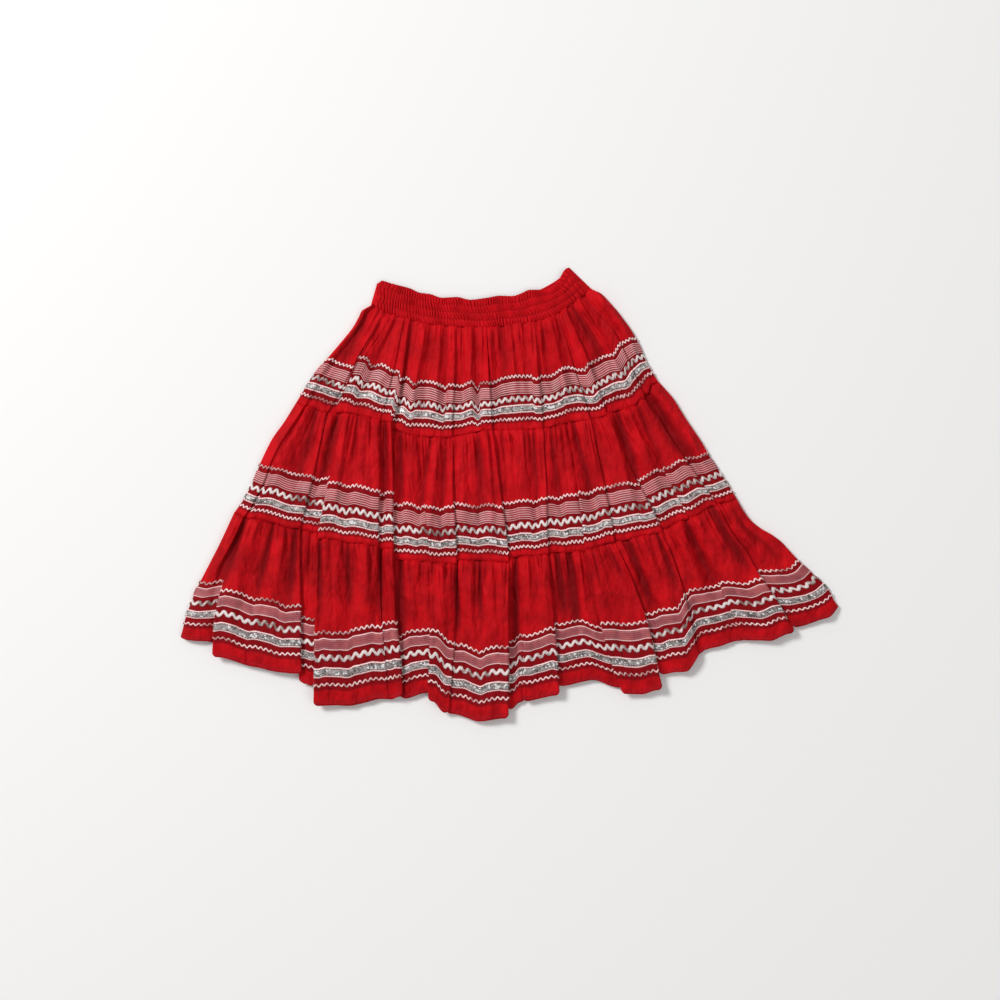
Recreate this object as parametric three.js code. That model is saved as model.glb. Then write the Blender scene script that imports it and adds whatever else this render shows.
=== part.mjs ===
// A gathered three-tier skirt with an elastic waistband, laid flat on a surface.
// Sizes are in millimetres. X runs across the skirt, Y runs up to the waist and Z up from the
// surface. Each tier is a tube of cloth pressed flat: a front wall with folds and gathers, a plain
// back wall that rests on the surface, and a side fold at each end.
import * as THREE from 'three';

// Walls and the space between pieces
const clothWall = 1.8;
const trimWall = 0.9;
const seamGap = 0.3;
const lineGap = 0.36;
const backLift = trimWall + seamGap;
const frontBase = 3.4;
const sideHeight = 3.6;
const sideRise = 3;

// Lines across the skirt, in this order: waist seam, upper seam, lower seam, hem. Each list of
// four below has one value a line.
const waist = 0;
const upperSeam = 1;
const lowerSeam = 2;
const hem = 3;
const lines = [waist, upperSeam, lowerSeam, hem];
// Width of a fold's slope, distance from a side fold to the first column, and dip of the back
const foldRun = [2, 8, 9, 9];
const sideInset = [3, 5, 6, 6];
const backSag = [50, 57, 69, 100];
const backColumns = 8;
const backSagPower = [0.6, 1.3, 1.3, 1.3];
// A panel wider than this at the hem has a column in its middle, at this share of its sides' rise
const wideAtHem = 45;
const middleRise = 0.6;

// The side folds: where each one meets the four lines, and how far it bows out half-way down
// the upper, middle and lower tier. stack is as for the folds.
const leftSide = {
  x: [-208, -319, -412, -492], y: [281, 136, -29, -218], bow: [-9, -6, -8], stack: 0.83,
};
const rightSide = {
  x: [124, 221, 340, 492], y: [305, 166, -8, -172], bow: [13, 5, 10], stack: 0.88,
};

// One row for each fold of the front, left to right. over is the side that lies on top, x is its
// edge at the four lines. left and right are the cloth's Y beside the fold at the upper seam, the
// lower seam and the hem. rise is the fold's height at the four lines, bow is how far its edge
// bends in the lower tier, and wide is how much wider its slope gets at the hem. In the
// panel to its right, sag is how far the hem dips, and stack how tall the lower tier's trims
// stand together, as a share of their full height.
const folds = [
  { name: 'corner', over: 'right', x: [-200, -300, -392, -443], left: [131, -35, -221],
    right: [130, -38, -244], rise: [1, 4, 6, 8], bow: -7, wide: 0, sag: 0, stack: 0.9 },
  { name: 'recessLeft', over: 'left', x: [-188, -272, -313, -310], left: [122, -53, -274],
    right: [121, -56, -284], rise: [1, 3, 4, 8], bow: 0, wide: 0, sag: 0, stack: 0.88 },
  { name: 'recessRight', over: 'right', x: [-176, -248, -287, -292], left: [121, -58, -287],
    right: [119, -67, -313], rise: [1, 4, 7, 8], bow: 0, wide: 0, sag: 7, stack: 1 },
  { name: 'strip', over: 'left', x: [-149, -194, -196, -182], left: [112, -77, -307],
    right: [109, -82, -307], rise: [1, 5, 6, 2], bow: 0, wide: 0, sag: 0, stack: 0.98 },
  { name: 'mainLeft', over: 'left', x: [-134, -176, -173, -160], left: [106, -82, -310],
    right: [95, -98, -307], rise: [2, 8, 9, 9], bow: 0, wide: 0, sag: 0, stack: 0.85 },
  { name: 'leftRise', over: 'right', x: [-110, -134, -118, -121], left: [86, -101, -299],
    right: [85, -103, -310], rise: [1, 4, 5, 8], bow: 0, wide: 0, sag: 0, stack: 0.94 },
  { name: 'half', over: 'left', x: [-80, -86, -79, -90], left: [83, -104, -328],
    right: [86, -99, -331], rise: [1, 4, 6, 3], bow: 0, wide: 0, sag: 10, stack: 0.97 },
  { name: 'centreLeft', over: 'left', x: [-35, -26, -1, -2], left: [94, -103, -329],
    right: [95, -96, -319], rise: [2, 6, 6, 9], bow: 0, wide: 0, sag: 0, stack: 0.9 },
  { name: 'centreRight', over: 'right', x: [-8, 1, 19, 20], left: [95, -95, -313],
    right: [95, -94, -310], rise: [2, 6, 5, 7], bow: 0, wide: 0, sag: 6, stack: 0.93 },
  { name: 'archLeft', over: 'left', x: [37, 50, 58, 74], left: [97, -91, -293],
    right: [98, -89, -287], rise: [1, 4, 5, 8], bow: 0, wide: 0, sag: -9, stack: 0.82 },
  { name: 'archRight', over: 'right', x: [59, 88, 113, 167], left: [104, -86, -290],
    right: [107, -82, -298], rise: [1, 5, 7, 8], bow: -3, wide: 0, sag: 7, stack: 1.03 },
  { name: 'tongue', over: 'left', x: [73, 121, 157, 227], left: [110, -74, -293],
    right: [112, -71, -271], rise: [1, 5, 5, 9], bow: 10, wide: 0, sag: 0, stack: 0.86 },
  { name: 'slope', over: 'left', x: [85, 146, 229, 272], left: [115, -58, -265],
    right: [121, -52, -240], rise: [2, 5, 5, 8], bow: 5, wide: 11, sag: 0, stack: 0.82 },
  { name: 'ripple', over: 'right', x: [97, 178, 268, 349], left: [127, -38, -221],
    right: [130, -34, -220], rise: [1, 4, 4, 5], bow: 0, wide: 0, sag: 6, stack: 0.84 },
  { name: 'mainRight', over: 'left', x: [109, 202, 310, 424], left: [142, -18, -208],
    right: [149, -15, -199], rise: [1, 5, 6, 8], bow: 0, wide: 0, sag: 0, stack: 0.88 },
];

// The waistband: its lower edge and its upper edge, left to right, with the peak at the right
const bandBottom = [
  { x: -208, y: 281 }, { x: -164, y: 263 }, { x: -104, y: 251 }, { x: -44, y: 248 },
  { x: 16, y: 253 }, { x: 61, y: 263 }, { x: 94, y: 284 }, { x: 124, y: 305 },
];
const bandTop = [
  { x: -194, y: 319 }, { x: -145, y: 304 }, { x: -97, y: 293 }, { x: -61, y: 290 },
  { x: -1, y: 296 }, { x: 47, y: 307 }, { x: 71, y: 323 }, { x: 89, y: 340 },
];
const band = {
  wall: 2, elasticRows: 3, pinched: 0.2, sidePuff: 0.5,
  ribs: 44, ribHeight: 1.7, ribFoot: 0.25, ribLeast: 0.8, ribSpread: 0.2, ribSpacing: 0.35,
};

// The tiers. zone is where the trims lie, as distances up the cloth from the tier's lower edge.
// pitch and gather are the spacing and height of the gathers at the tier's top. The gathers are
// cut by rings at its top and at two shares of the way down to the trims, fade.
const tiers = [
  { name: 'upper', top: waist, zone: [90, 12], pitch: 8.2, gather: 3.2, fade: [0.35, 0.72] },
  { name: 'middle', top: upperSeam, zone: [90, 10], pitch: 13, gather: 4.2, fade: [0.3, 0.68] },
  { name: 'lower', top: lowerSeam, zone: [121, 24], pitch: 17, gather: 5, fade: [0.28, 0.62] },
];

// How much of their height the gathers have lost at each of those rings, and how uneven they are:
// in their spacing, in their height, and in how soon they die out
const gatherLoss = [0, 0.45, 0.85];
const gatherSpacing = 0.3;
const gatherHeight = { least: 0.75, spread: 0.25 };
const gatherDying = { least: 0.5, spread: 0.7 };
const hollowHeight = 0.15;

// The trims of each tier, top to bottom: at is the distance of the middle of each trim up the
// cloth from the tier's lower edge, height is its height
const trimKinds = ['rickrack_high', 'lined_ribbon', 'rickrack_wide', 'silver_ribbon', 'rickrack_low'];
const trims = {
  upper: { at: [79.5, 64, 49.5, 34, 18], height: [6.5, 16.5, 9, 14, 6.5] },
  middle: { at: [82.5, 64, 48, 28, 16], height: [6.5, 18, 10, 13.5, 6.5] },
  lower: { at: [112, 94, 73, 51, 32], height: [7, 19, 11.5, 16, 7] },
};

// Colours and finish of each kind of piece
const finishes = {
  cloth: { color: 0xc8141f, roughness: 0.9, metalness: 0 },
  band: { color: 0xc2121d, roughness: 0.9, metalness: 0 },
  rickrack_high: { color: 0xe6c9c8, roughness: 0.5, metalness: 0.3 },
  lined_ribbon: { color: 0xd98a90, roughness: 0.55, metalness: 0.1 },
  rickrack_wide: { color: 0xe2dcdc, roughness: 0.45, metalness: 0.4 },
  silver_ribbon: { color: 0xb4b0b0, roughness: 0.4, metalness: 0.7 },
  rickrack_low: { color: 0xe6c9c8, roughness: 0.5, metalness: 0.3 },
};

const lerp = THREE.MathUtils.lerp;
const up = new THREE.Vector3(0, 0, 1);
const down = new THREE.Vector3(0, 0, -1);
const left = new THREE.Vector3(-1, 0, 0);
const right = new THREE.Vector3(1, 0, 0);

// An even spread of numbers from 0 to 1 that looks uneven, the same for the same seed
function uneven(seed) {
  const wave = Math.sin(seed * 12.9898 + 4.1) * 43758.5453;
  return wave - Math.floor(wave);
}

// Slow at both ends, from 0 to 1
function ease(t) {
  const clamped = Math.min(1, Math.max(0, t));
  return clamped * clamped * (3 - 2 * clamped);
}

// A smooth curve y(x) through the points of a table: a cubic between each two, with the slope at
// each point taken from its neighbours
function along(table, x) {
  const last = table.length - 1;
  let i = 0;
  while (i < last - 1 && x > table[i + 1].x) i += 1;
  const slopeAt = (k) => {
    const before = table[Math.max(0, k - 1)];
    const after = table[Math.min(last, k + 1)];
    return (after.y - before.y) / (after.x - before.x);
  };
  const from = table[i];
  const to = table[i + 1];
  const span = to.x - from.x;
  const t = (x - from.x) / span;
  const t2 = t * t;
  const t3 = t2 * t;
  const ends = (2 * t3 - 3 * t2 + 1) * from.y + (3 * t2 - 2 * t3) * to.y;
  return ends + ((t3 - 2 * t2 + t) * slopeAt(i) + (t3 - t2) * slopeAt(i + 1)) * span;
}

// A column is one line of cloth from the waist to the hem. It holds X, Y and rise at the four
// lines, the direction that its cloth faces, how far it bows, the stack of the trims there, and
// which layer it is in. run is the share of the fold's run by which it stands beside the fold's
// edge, and drop marks the column before a fold's slope.
function frontColumn(x, y, rise, stack, shape = {}) {
  const plain = { run: 0, drop: false, facing: up, bow: [0, 0, 0], back: false };
  return { ...plain, x, y, rise, stack, ...shape };
}

// The two columns of a fold, left and right: the edge is on the side that lies on top, and the
// foot is one run away. stackBefore is the stack in the panel to its left.
function foldColumns(fold, stackBefore) {
  const leftOver = fold.over === 'left';
  const waistAt = (run) => along(bandBottom, fold.x[waist] + run * foldRun[waist]);
  const none = [0, 0, 0, 0];
  const leftRun = leftOver ? 0 : -1;
  const rightRun = leftOver ? 1 : 0;
  const bow = [0, 0, fold.bow];
  const leftY = [waistAt(leftRun), ...fold.left];
  const rightY = [waistAt(rightRun), ...fold.right];
  const leftShape = { run: leftRun, drop: true, bow };
  const widened = (run) => fold.x.map((x, line) => x + (line === hem ? run * fold.wide : 0));
  return [
    frontColumn(widened(leftRun), leftY, leftOver ? fold.rise : none, stackBefore, leftShape),
    frontColumn(widened(rightRun), rightY, leftOver ? none : fold.rise, fold.stack, { run: rightRun, bow }),
  ];
}

const xAt = (column, line) => column.x[line] + column.run * foldRun[line];

// A column half-way across a wide panel, with the dip of its hem
function middleColumn(before, after, sag) {
  const x = lines.map((line) => (xAt(before, line) + xAt(after, line)) / 2);
  const y = lines.map((line) => (before.y[line] + after.y[line]) / 2);
  y[waist] = along(bandBottom, x[waist]);
  y[hem] -= sag;
  const rise = lines.map((line) => (before.rise[line] + after.rise[line]) * middleRise);
  return frontColumn(x, y, rise, (before.stack + after.stack) / 2);
}

// The column of a side fold, and the front and back columns just inside it
function sideColumns(side, facing) {
  const inward = -facing.x;
  const x = lines.map((line) => side.x[line] + inward * sideInset[line]);
  const y = side.y;
  const none = [0, 0, 0, 0];
  const bow = side.bow;
  const edge = frontColumn(side.x, y, none, side.stack, { facing, bow });
  const front = frontColumn(x, y, none.map(() => sideRise), side.stack, { bow });
  const back = frontColumn(x, y, none, side.stack, { facing: down, bow, back: true });
  return { edge, front, back };
}

// The plain back: columns at even shares of the width, on lines that dip in the middle and stay
// hidden under the front
function backColumn(share) {
  const x = lines.map((line) => lerp(rightSide.x[line], leftSide.x[line], share));
  const y = lines.map((line) => {
    const dip = Math.sin(Math.PI * share) ** backSagPower[line];
    return lerp(rightSide.y[line], leftSide.y[line], share) - backSag[line] * dip;
  });
  const stack = lerp(rightSide.stack, leftSide.stack, share);
  return frontColumn(x, y, [0, 0, 0, 0], stack, { facing: down, back: true });
}

// All columns round the tube: left side, front left to right, right side, back right to left
function allColumns() {
  const pairs = folds.map((fold, i) => {
    return foldColumns(fold, i > 0 ? folds[i - 1].stack : leftSide.stack);
  });
  const leftEnd = sideColumns(leftSide, left);
  const rightEnd = sideColumns(rightSide, right);
  const front = [leftEnd.front];
  pairs.forEach((pair, i) => {
    const before = front[front.length - 1];
    const sag = i > 0 ? folds[i - 1].sag : 0;
    const width = xAt(pair[0], hem) - xAt(before, hem);
    if (i > 0 && width > wideAtHem) front.push(middleColumn(before, pair[0], sag));
    front.push(...pair);
  });
  front.push(middleColumn(front[front.length - 1], rightEnd.front, 0), rightEnd.front);
  const back = [];
  for (let k = 1; k <= backColumns; k += 1) back.push(backColumn(k / (backColumns + 1)));
  return [leftEnd.edge, ...front, rightEnd.edge, rightEnd.back, ...back, leftEnd.back];
}

const columns = allColumns();

// The waist seam as the front columns cut it: straight from each column to the next
const waistPoints = columns
  .filter((column) => !column.back)
  .map((column) => ({ x: xAt(column, waist), y: column.y[waist] }));

function waistSeam(x) {
  let i = 0;
  while (i < waistPoints.length - 2 && x > waistPoints[i + 1].x) i += 1;
  const from = waistPoints[i];
  const to = waistPoints[i + 1];
  return lerp(from.y, to.y, (x - from.x) / (to.x - from.x));
}

// The length of a column down one tier
function columnLength(column, top) {
  return Math.hypot(xAt(column, top + 1) - xAt(column, top), column.y[top + 1] - column.y[top]);
}

// The share of the way down a tier that lies a given distance above its lower edge, with the
// lower tier's trims stacked as low as the column says
function shareAbove(column, top, distance) {
  const stack = top === lowerSeam ? column.stack : 1;
  return 1 - distance * stack / columnLength(column, top);
}

// How much of its bow a side fold has: round down to where the trims begin, then straight
function bowShare(share, zoneStart) {
  if (share < zoneStart) return Math.sin(Math.PI * share);
  return Math.sin(Math.PI * zoneStart) * (1 - share) / (1 - zoneStart);
}

// The inner point of the cloth on a column, a share of the way down a tier. The folds reach
// their full height where the trims begin and keep it down to the tier's lower edge. lifted is
// for the back wall where trims lie under it.
function innerPoint(column, tier, share, lifted) {
  const top = tier.top;
  const settled = ease(share / shareAbove(column, top, tier.zone[0]));
  const run = column.run * lerp(foldRun[top], foldRun[top + 1], settled);
  const bow = column.bow[top] * bowShare(share, shareAbove(column, top, tier.zone[0]));
  const x = lerp(column.x[top], column.x[top + 1], share) + run + bow;
  const y = lerp(column.y[top], column.y[top + 1], share) - (share === 0 ? lineGap : 0);
  const rise = lerp(column.rise[top], column.rise[top + 1], settled);
  if (column.facing === up) return new THREE.Vector3(x, y, frontBase + rise);
  if (column.facing === down) return new THREE.Vector3(x, y, clothWall + (lifted ? backLift : 0));
  return new THREE.Vector3(x, y, sideHeight);
}

// A point of a ring: u is its place round the tube, in columns
function ringPoint(u, inner, facing, depth, thickness) {
  return {
    u,
    inner: inner.clone().addScaledVector(facing, depth),
    outer: inner.clone().addScaledVector(facing, depth + thickness),
  };
}

// A ring with one point a column, depth outside the cloth's inner face
function plainRing(tier, shareOf, lifted, depth, thickness) {
  return columns.map((column, i) => {
    return ringPoint(i, innerPoint(column, tier, shareOf(column), lifted), column.facing, depth, thickness);
  });
}

// How many gathers a tier has between one front column and the next
function gathersBetween(tier, i) {
  const next = columns[i + 1];
  if (columns[i].facing !== up || !next || next.facing !== up || columns[i].drop) return 0;
  return Math.round((xAt(next, tier.top) - xAt(columns[i], tier.top)) / tier.pitch);
}

// A ring across the gathers, fall being the share of the way down to the trims: each gather is
// a ridge between two hollows, lower further down, some of them sooner than others
function gatheredRing(tier, fall, loss) {
  const points = [];
  const shareOf = (column) => fall * shareAbove(column, tier.top, tier.zone[0]);
  columns.forEach((column, i) => {
    const next = columns[(i + 1) % columns.length];
    const from = innerPoint(column, tier, shareOf(column), false);
    points.push(ringPoint(i, from, column.facing, 0, clothWall));
    const steps = 2 * gathersBetween(tier, i);
    if (steps === 0) return;
    const to = innerPoint(next, tier, shareOf(next), false);
    for (let k = 1; k < steps; k += 1) {
      const seed = tier.top * 1000 + i * 20 + k;
      const place = (k + (uneven(seed) - 0.5) * gatherSpacing) / steps;
      const point = from.clone().lerp(to, place);
      const dying = gatherDying.least + gatherDying.spread * uneven(seed + 0.5);
      const share = gatherHeight.least + gatherHeight.spread * uneven(seed + 0.25);
      const height = tier.gather * share * Math.max(0, 1 - loss * dying);
      point.z += k % 2 === 1 ? height : height * hollowHeight;
      points.push(ringPoint(i + place, point, up, 0, clothWall));
    }
  });
  return points;
}

// Joins the skins of a wall into one closed surface. Each skin is a list of rings, top to bottom,
// and rings may differ in how many points they have: the strip between two rings steps forward
// on whichever ring is behind. round is the value of u once round the tube.
function closedWall(outerRings, innerRings, round) {
  const positions = [];
  const triangle = (a, b, c) => positions.push(...a.toArray(), ...b.toArray(), ...c.toArray());
  const place = (ring, i) => ring[i % ring.length].u + (i >= ring.length ? round : 0);
  const strip = (above, below, pick, outward) => {
    const face = (a, b, c) => (outward ? triangle(a, b, c) : triangle(a, c, b));
    const at = (ring, i) => pick(ring[i % ring.length]);
    let i = 0;
    let j = 0;
    while (i < above.length || j < below.length) {
      const stepAbove = j >= below.length
        || (i < above.length && place(above, i + 1) <= place(below, j + 1));
      if (stepAbove) {
        face(at(above, i), at(below, j), at(above, i + 1));
        i += 1;
      } else {
        face(at(above, i), at(below, j), at(below, j + 1));
        j += 1;
      }
    }
  };
  const outerOf = (point) => point.outer;
  const innerOf = (point) => point.inner;
  for (let k = 0; k + 1 < outerRings.length; k += 1) {
    strip(outerRings[k], outerRings[k + 1], outerOf, true);
  }
  for (let k = 0; k + 1 < innerRings.length; k += 1) {
    strip(innerRings[k], innerRings[k + 1], innerOf, false);
  }
  const rim = (ring, faceUp) => {
    ring.forEach((point, i) => {
      const next = ring[(i + 1) % ring.length];
      const face = (a, b, c) => (faceUp ? triangle(a, b, c) : triangle(a, c, b));
      face(point.outer, next.outer, next.inner);
      face(point.outer, next.inner, point.inner);
    });
  };
  rim(outerRings[0], true);
  rim(outerRings[outerRings.length - 1], false);
  const geometry = new THREE.BufferGeometry();
  geometry.setAttribute('position', new THREE.Float32BufferAttribute(positions, 3));
  geometry.computeVertexNormals();
  return geometry;
}

// One tier: three gathered rings from its top, then plain rings at the ends and the middle of
// the trims' zone and at its lower edge
function tierGeometry(tier) {
  const shareAt = (distance) => (column) => shareAbove(column, tier.top, distance);
  const rings = [
    gatheredRing(tier, 0, gatherLoss[0]),
    gatheredRing(tier, tier.fade[0], gatherLoss[1]),
    gatheredRing(tier, tier.fade[1], gatherLoss[2]),
    plainRing(tier, shareAt(tier.zone[0]), true, 0, clothWall),
    plainRing(tier, shareAt((tier.zone[0] + tier.zone[1]) / 2), true, 0, clothWall),
    plainRing(tier, shareAt(tier.zone[1]), true, 0, clothWall),
    plainRing(tier, () => 1, false, 0, clothWall),
  ];
  return closedWall(rings, rings, columns.length);
}

// One trim: a flat band that lies on the outside of its tier, all round
function trimGeometry(tier, at, height) {
  const ring = (distance) => {
    const shareOf = (column) => shareAbove(column, tier.top, distance);
    return plainRing(tier, shareOf, true, clothWall + seamGap, trimWall);
  };
  const rings = [ring(at + height / 2), ring(at - height / 2)];
  return closedWall(rings, rings, columns.length);
}

// A point of the waistband's inner face: across is the share from left to right, fall the share
// from the upper edge to the lower edge
function bandPoint(across, fall, backSide) {
  const topX = lerp(bandTop[0].x, bandTop[bandTop.length - 1].x, across);
  const bottomX = lerp(leftSide.x[waist], rightSide.x[waist], across);
  let topY = along(bandTop, topX);
  let bottomY = waistSeam(bottomX);
  if (backSide) {
    const dip = backSag[waist] * Math.sin(Math.PI * across) ** backSagPower[waist];
    topY = lerp(bandTop[0].y, bandTop[bandTop.length - 1].y, across) - dip;
    bottomY = lerp(leftSide.y[waist], rightSide.y[waist], across) - dip;
  }
  return new THREE.Vector3(lerp(topX, bottomX, fall), lerp(topY, bottomY, fall), 0);
}

// One ring of the waistband. puff is how far the cloth stands out between two rows of elastic,
// and the ribs run up and down the front.
function bandRing(fall, puff) {
  const insetShare = sideInset[waist] / (rightSide.x[waist] - leftSide.x[waist]);
  const points = [];
  const add = (across, backSide, height, facing, thickness) => {
    const point = bandPoint(across, fall, backSide);
    point.z = height;
    points.push(ringPoint(points.length, point, facing, 0, thickness));
  };
  add(0, false, sideHeight, left, band.wall + band.sidePuff * puff);
  for (let k = 0; k <= 2 * band.ribs; k += 1) {
    const middle = k > 0 && k < 2 * band.ribs;
    const wobble = middle ? (uneven(k + 700) - 0.5) * band.ribSpacing : 0;
    const across = lerp(insetShare, 1 - insetShare, (k + wobble) / (2 * band.ribs));
    const ridge = band.ribLeast + band.ribSpread * uneven(k + 900);
    const rib = k % 2 === 1 ? ridge : band.ribFoot;
    add(across, false, frontBase, up, band.wall + band.ribHeight * rib * puff);
  }
  add(1, false, sideHeight, right, band.wall + band.sidePuff * puff);
  add(1 - insetShare, false, band.wall, down, band.wall);
  for (let k = 1; k <= backColumns; k += 1) {
    add(1 - k / (backColumns + 1), true, band.wall, down, band.wall);
  }
  add(insetShare, false, band.wall, down, band.wall);
  return points;
}

// The waistband: puffed outside between its elastic rows, plain inside
function bandGeometry() {
  const channels = band.elasticRows + 1;
  const outerRings = [];
  for (let k = 0; k <= 2 * channels; k += 1) {
    outerRings.push(bandRing(k / (2 * channels), k % 2 === 1 ? 1 : band.pinched));
  }
  const innerRings = [outerRings[0], outerRings[outerRings.length - 1]];
  return closedWall(outerRings, innerRings, outerRings[0].length);
}

const skirt = new THREE.Group();

function addPiece(name, geometry, finish) {
  const mesh = new THREE.Mesh(geometry, new THREE.MeshStandardMaterial(finish));
  mesh.name = name;
  skirt.add(mesh);
}

addPiece('waistband', bandGeometry(), finishes.band);
tiers.forEach((tier) => {
  addPiece(`tier_${tier.name}`, tierGeometry(tier), finishes.cloth);
  trimKinds.forEach((kind, i) => {
    const row = trims[tier.name];
    addPiece(`${tier.name}_${kind}`, trimGeometry(tier, row.at[i], row.height[i]), finishes[kind]);
  });
});

export default skirt;
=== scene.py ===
import math
from functools import partial

import bpy
import numpy as np
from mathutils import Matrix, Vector


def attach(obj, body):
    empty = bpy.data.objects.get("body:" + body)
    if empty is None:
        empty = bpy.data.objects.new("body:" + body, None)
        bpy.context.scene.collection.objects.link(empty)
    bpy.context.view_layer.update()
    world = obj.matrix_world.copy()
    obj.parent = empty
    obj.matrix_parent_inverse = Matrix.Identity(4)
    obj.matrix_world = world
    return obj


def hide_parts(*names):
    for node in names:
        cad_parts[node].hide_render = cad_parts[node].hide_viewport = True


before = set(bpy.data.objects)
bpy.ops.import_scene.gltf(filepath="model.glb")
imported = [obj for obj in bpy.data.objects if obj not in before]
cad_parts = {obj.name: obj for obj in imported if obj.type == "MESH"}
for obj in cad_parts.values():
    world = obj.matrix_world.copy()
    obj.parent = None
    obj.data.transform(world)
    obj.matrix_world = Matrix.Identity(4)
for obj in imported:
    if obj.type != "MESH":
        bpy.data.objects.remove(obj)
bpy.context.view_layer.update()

# A tiered, gathered skirt laid flat. Sizes are in millimetres here and become metres in the
# meshes. X runs across the skirt, Y up to the waist, Z up from the surface it lies on.
millimetre = 0.001

# The lines across the skirt: waist seam, upper seam, lower seam, hem. Lists of four have one
# value a line.
waist, upperSeam, lowerSeam, hem = 0, 1, 2, 3

lay = {
    "frontHeight": 5.0,     # outside of the front cloth where no fold lifts it
    "backHeight": 0.1,      # outside of the back cloth above the floor
    "backLift": 1.2,        # the back rises this much over the trims under it
    "clothThickness": 0.6,
    "leastFront": 2.3,      # the front comes no nearer to the floor than this
    "panelShare": 0.6,      # a panel's middle has this share of its folds' height, and this much more
    "panelLift": 1.2,
    "wander": 3.0,          # how far the cloth's lines wander sideways
    "seamWander": 1.5,      # and up and down the skirt
    "foldWidth": [0.25, 0.8, 1.0, 1.0],   # a fold's share of its full width at each line
    "tuck": 0.5,            # how far a fold goes under itself, as a share of its height
    "backSag": [50, 57, 69, 100],         # how far each line dips on the back, and how evenly
    "backSagPower": [0.6, 1.3, 1.3, 1.3],
    "seamTuck": 3.0,        # each tier starts this far under the edge above it
}

# The side folds: X and Y of the four lines there, the stack of the lower tier's trims as in the
# folds below, how far the hem dips over the fold, and bow, how far the outline stands out beside
# the straight line: pairs of share of the way down a tier and distance
leftSide = {
    "x": [-208, -319, -412, -492], "y": [281, 136, -29, -218], "stack": 0.83, "hemDip": 4,
    "bow": [
        [(0, 0), (0.05, 7), (0.13, 4), (0.25, 1), (0.5, 3), (0.68, 5), (0.85, 3), (1, 0)],
        [(0, 0), (0.16, 1.3), (0.34, 5.4), (0.52, 3.5), (0.7, -2), (0.88, -3), (1, 0)],
        [(0, 0), (0.25, 2), (0.38, 4), (0.52, 6.5), (0.63, 8), (0.79, 7), (0.95, 2), (1, 0)],
    ],
}
rightSide = {
    "x": [124, 221, 340, 492], "y": [305, 166, -8, -172], "stack": 0.88, "hemDip": 30,
    "bow": [
        [(0, 0), (0.04, 9), (0.11, 11.5), (0.28, 15), (0.42, 15.5), (0.55, 13), (0.65, 9),
         (0.8, 4), (1, 2)],
        [(0, 3), (0.15, 7.5), (0.32, 5.5), (0.49, 5.5), (0.67, 2), (0.84, 1.5), (1, 0)],
        [(0, 0), (0.1, -6), (0.195, -9), (0.27, -5), (0.33, 3), (0.4, 7), (0.56, 6.5), (0.67, 9),
         (0.76, 12), (0.84, 10.5), (0.93, 4), (1, 0)],
    ],
}

# One row for each fold of the front, left to right: the side that lies on top, X of its edge at
# the four lines, Y beside it on the left and right at the upper seam, lower seam and hem, its
# height at the four lines, how far its edge bends in the lower tier, how wide it slopes at the
# hem instead of going under itself, how far the hem dips in the panel to its right, and how tall
# the lower tier's trims stand together in that panel
folds = [
    ("corner", "right", [-200, -300, -392, -443],
     [131, -35, -221], [130, -38, -244], [1, 4, 6, 8], -7, 0, 4, 0.9),
    ("recessLeft", "left", [-188, -272, -313, -310],
     [122, -53, -268], [121, -56, -284], [1, 3, 4, 8], 0, 0, 0, 0.88),
    ("recessRight", "right", [-176, -248, -287, -292],
     [121, -58, -287], [119, -67, -317], [1, 4, 7, 8], 0, 0, 4, 0.97),
    ("strip", "left", [-158, -194, -196, -182],
     [112, -77, -307], [109, -82, -307], [1, 2, 6, 1], 0, 0, 0, 1.0),
    ("mainLeft", "left", [-148, -176, -173, -160],
     [106, -82, -303], [95, -98, -307], [2, 8, 9, 9], 0, 0, 0, 0.85),
    ("leftRise", "right", [-110, -134, -118, -121],
     [86, -101, -299], [85, -103, -310], [1, 4, 5, 8], 0, 0, 0, 0.94),
    ("half", "left", [-80, -86, -79, -90],
     [83, -104, -328], [86, -99, -331], [1, 4, 6, 3], 0, 0, 7, 0.94),
    ("centreLeft", "left", [-35, -26, -1, -2],
     [94, -103, -335], [95, -96, -322], [2, 6, 6, 9], 0, 0, 0, 0.9),
    ("centreRight", "right", [-8, 1, 19, 20],
     [95, -95, -313], [95, -94, -311], [2, 6, 5, 7], 0, 0, 1, 0.88),
    ("archLeft", "left", [37, 50, 58, 74],
     [97, -91, -301], [98, -89, -287], [1, 4, 5, 8], 0, 0, -9, 0.82),
    ("archRight", "right", [59, 88, 113, 167],
     [104, -86, -290], [107, -82, -298], [1, 5, 7, 8], -3, 0, 3, 0.95),
    ("tongue", "left", [73, 121, 157, 227],
     [110, -74, -293], [112, -71, -271], [1, 5, 5, 9], 10, 0, 0, 0.86),
    ("slope", "left", [85, 146, 229, 272],
     [115, -58, -265], [121, -52, -234], [2, 5, 5, 8], 5, 16, 0, 0.82),
    ("ripple", "right", [97, 178, 268, 349],
     [127, -38, -221], [130, -34, -220], [1, 4, 4, 2], 0, 0, 6, 0.84),
    ("mainRight", "left", [109, 202, 310, 424],
     [142, -18, -208], [149, -15, -199], [1, 5, 6, 8], 0, 0, 2, 0.88),
]

# Points X, Y of the waistband's lower and upper edge on the front
bandLower = [
    (-208, 281), (-164, 263), (-104, 251), (-44, 248), (16, 253), (61, 263), (94, 284), (124, 305),
]
bandUpper = [
    (-198.5, 319.5), (-190, 318.5), (-179, 315), (-164, 311), (-149, 307), (-134, 300.5), (-119, 298.5),
    (-101, 293), (-79, 294), (-59, 290), (-34, 293), (-14, 296), (4, 295.5), (16, 299), (31, 305),
    (45, 305), (56, 306), (64, 310), (70, 315), (76, 324), (82, 334), (89, 340),
]

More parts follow.
